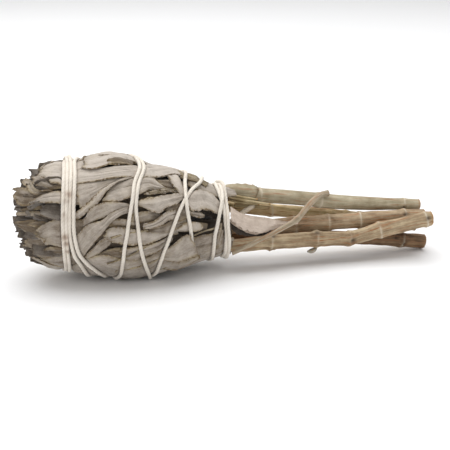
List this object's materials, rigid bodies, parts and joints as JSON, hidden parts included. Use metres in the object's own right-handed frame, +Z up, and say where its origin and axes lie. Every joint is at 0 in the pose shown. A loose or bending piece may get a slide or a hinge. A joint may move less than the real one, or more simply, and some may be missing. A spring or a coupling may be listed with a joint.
{
  "type": "herb smudge stick",
  "caption": "Dried sage leaves bundled round their bare cut stems and bound with one cotton thread, lying on its side.",
  "frame": {"origin": "middle of the whole part's footprint, on the surface that it lies on", "axes": "+X along the stick towards its cut stem ends, +Z up, -Y towards the side with the stray leaf"},
  "size_m": [0.1603, 0.0478, 0.0461],
  "materials": {
    "dried_leaf": "soft matt, finely felted dry leaf, grey green to pale taupe, torn brown edges",
    "stray_leaf": "soft matt dry leaf, pinkish taupe, torn lower edge",
    "cotton_thread": "undyed twisted cotton, slightly fuzzy",
    "stem_grey_olive": "smooth dry bark, grey olive, pale rings at the joints",
    "stem_olive_brown": "dry bark, olive brown",
    "stem_brown": "dry ridged bark, warm brown, pale rings at the joints",
    "stem_tan": "dry ridged bark, tan, orange cut rim",
    "stem_dark_brown": "dry ridged bark, dark brown, cut end",
    "twig": "thin smooth dry twig",
    "stalk": "thin dry stalk, pale ochre"
  },
  "bodies": {
    "root": {"leaf_bundle": "dried_leaf", "stray_leaf": "stray_leaf", "thread": "cotton_thread", "stem_a": "stem_grey_olive", "stem_b": "stem_olive_brown", "stem_c": "stem_brown", "stem_d": "stem_tan", "stem_e": "stem_dark_brown", "thin_twig": "twig", "thin_stalk": "stalk"}
  },
  "joints": []
}
